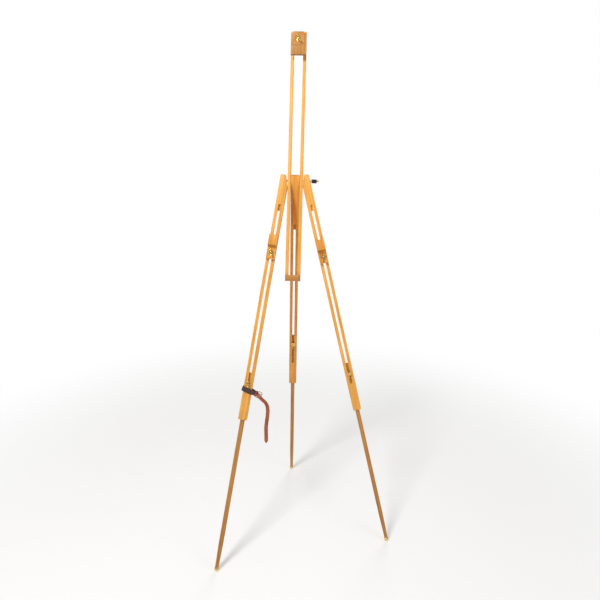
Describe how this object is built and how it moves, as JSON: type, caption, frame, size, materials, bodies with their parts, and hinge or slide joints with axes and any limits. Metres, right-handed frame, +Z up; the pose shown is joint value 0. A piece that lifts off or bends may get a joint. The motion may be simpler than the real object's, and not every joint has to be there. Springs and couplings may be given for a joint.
{
  "type": "tripod field easel",
  "caption": "Folding wooden tripod easel: slotted mast with sliding canvas clamp, slotted legs with sliding sticks, canvas rests, brass wing nuts and a leather carrying strap.",
  "frame": {"origin": "on the floor, at the middle of the rectangle that the feet span", "axes": "+Z up, the easel's front faces -Y, +X to the viewer's right"},
  "size_m": [0.6366, 0.6, 1.8258],
  "materials": {
    "oiled_beech": "oiled beech, satin, with fine straight grain and short dark flecks",
    "brass": "bright brass plating, lightly worn",
    "black_plastic": "moulded black plastic with flutes, semi-gloss",
    "leather": "dark reddish-brown strap leather with burnished edges"
  },
  "bodies": {
    "rod": {"cross_rod": "brass"},
    "knob": {"knob_grip": "black_plastic", "knob_insert": "brass"},
    "mast_carrier": {"mast_bushes": "brass"},
    "mast": {"left_upright": "oiled_beech", "right_upright": "oiled_beech", "crosspiece": "oiled_beech", "crosspiece_dowels": "oiled_beech", "top_spacer": "oiled_beech", "spacer_dowels": "oiled_beech"},
    "clamp": {"clamp_jaw": "oiled_beech", "clamp_back_plate": "oiled_beech", "clamp_bolt": "brass", "clamp_washer": "brass"},
    "clamp_nut": {"clamp_wing_nut": "brass"},
    "left_hip": {"left_leg_washer": "brass"},
    "left_leg": {"left_leg_board": "oiled_beech", "left_keeper": "oiled_beech", "strap": "leather", "strap_keeper": "leather", "buckle_frame": "brass", "buckle_prong": "brass", "strap_screw": "brass"},
    "left_stick": {"left_stick": "oiled_beech", "left_stick_bolt": "brass", "left_stick_washer": "brass", "left_foot": "brass"},
    "left_stick_nut": {"left_stick_wing_nut": "brass"},
    "left_rest": {"left_rest_block": "oiled_beech", "left_rest_bolt": "brass", "left_rest_washer": "brass"},
    "left_rest_nut": {"left_rest_wing_nut": "brass"},
    "right_hip": {"right_leg_washer": "brass"},
    "right_leg": {"right_leg_board": "oiled_beech", "right_keeper": "oiled_beech"},
    "right_stick": {"right_stick": "oiled_beech", "right_stick_bolt": "brass", "right_stick_washer": "brass", "right_foot": "brass"},
    "right_stick_nut": {"right_stick_wing_nut": "brass"},
    "right_rest": {"right_rest_block": "oiled_beech", "right_rest_bolt": "brass", "right_rest_washer": "brass"},
    "right_rest_nut": {"right_rest_wing_nut": "brass"},
    "rear_leg": {"rear_leg_board": "oiled_beech", "rear_keeper": "oiled_beech"},
    "rear_stick": {"rear_stick": "oiled_beech", "rear_stick_bolt": "brass", "rear_stick_washer": "brass", "rear_foot": "brass"},
    "rear_stick_nut": {"rear_stick_wing_nut": "brass"}
  },
  "joints": [
    {"name": "knob_spin", "type": "hinge", "parent": "rod", "child": "knob", "pos_m": [-0.00961, 0.06777, 1.326], "axis": [1, 0, 0], "continuous": true},
    {"name": "mast_tilt", "type": "hinge", "parent": "rod", "child": "mast_carrier", "pos_m": [-0.07161, 0.06777, 1.326], "axis": [1, 0, 0], "range_deg": [-75, 15]},
    {"name": "mast_slide", "type": "slide", "parent": "mast_carrier", "child": "mast", "axis": [0, 0.2368, 0.9715], "range_m": [-0.4, 0.29]},
    {"name": "clamp_slide", "type": "slide", "parent": "mast", "child": "clamp", "axis": [0, -0.2368, -0.9715], "range_m": [0, 0.4]},
    {"name": "clamp_nut_spin", "type": "hinge", "parent": "clamp", "child": "clamp_nut", "pos_m": [-0.07161, 0.13999, 1.79113], "axis": [0, -0.9715, 0.2368], "continuous": true},
    {"name": "left_leg_swing", "type": "hinge", "parent": "rod", "child": "left_hip", "pos_m": [-0.12141, 0.06777, 1.326], "axis": [1, 0, 0], "range_deg": [-15, 22]},
    {"name": "left_leg_splay", "type": "hinge", "parent": "left_hip", "child": "left_leg", "pos_m": [-0.09861, 0.06223, 1.30574], "axis": [0, 0.9646, -0.2639], "range_deg": [-8.1, 7.5]},
    {"name": "left_stick_slide", "type": "slide", "parent": "left_leg", "child": "left_stick", "axis": [0.1444, 0.2611, 0.9545], "range_m": [0, 0.36]},
    {"name": "left_stick_nut_spin", "type": "hinge", "parent": "left_stick", "child": "left_stick_nut", "pos_m": [-0.21482, -0.13501, 0.64161], "axis": [0, -0.9646, 0.2639], "continuous": true},
    {"name": "left_rest_slide", "type": "slide", "parent": "left_leg", "child": "left_rest", "axis": [0.1444, 0.2611, 0.9545], "range_m": [-0.3, 0.105]},
    {"name": "left_rest_nut_spin", "type": "hinge", "parent": "left_rest", "child": "left_rest_nut", "pos_m": [-0.14789, -0.02358, 1.08679], "axis": [0, -0.9646, 0.2639], "continuous": true},
    {"name": "right_leg_swing", "type": "hinge", "parent": "rod", "child": "right_hip", "pos_m": [-0.02181, 0.06777, 1.326], "axis": [1, 0, 0], "range_deg": [-15, 18]},
    {"name": "right_leg_splay", "type": "hinge", "parent": "right_hip", "child": "right_leg", "pos_m": [-0.04461, 0.06467, 1.30523], "axis": [0, -0.989, 0.1478], "range_deg": [-14.3, 1.3]},
    {"name": "right_stick_slide", "type": "slide", "parent": "right_leg", "child": "right_stick", "axis": [-0.2504, 0.1431, 0.9575], "range_m": [-0.03, 0.36]},
    {"name": "right_stick_nut_spin", "type": "hinge", "parent": "right_stick", "child": "right_stick_nut", "pos_m": [0.14244, -0.04822, 0.65134], "axis": [0, -0.989, 0.1478], "continuous": true},
    {"name": "right_rest_slide", "type": "slide", "parent": "right_leg", "child": "right_rest", "axis": [-0.2504, 0.1431, 0.9575], "range_m": [-0.3, 0.105]},
    {"name": "right_rest_nut_spin", "type": "hinge", "parent": "right_rest", "child": "right_rest_nut", "pos_m": [0.03313, 0.00437, 1.07087], "axis": [0, -0.989, 0.1478], "continuous": true},
    {"name": "rear_leg_swing", "type": "hinge", "parent": "rod", "child": "rear_leg", "pos_m": [-0.07161, 0.06777, 1.326], "axis": [1, 0, 0], "range_deg": [-23, 12]},
    {"name": "rear_stick_slide", "type": "slide", "parent": "rear_leg", "child": "rear_stick", "axis": [0, -0.1668, 0.986], "range_m": [-0.08, 0.44]},
    {"name": "rear_stick_nut_spin", "type": "hinge", "parent": "rear_stick", "child": "rear_stick_nut", "pos_m": [-0.07161, 0.16246, 0.67621], "axis": [0, -0.986, -0.1668], "continuous": true}
  ]
}
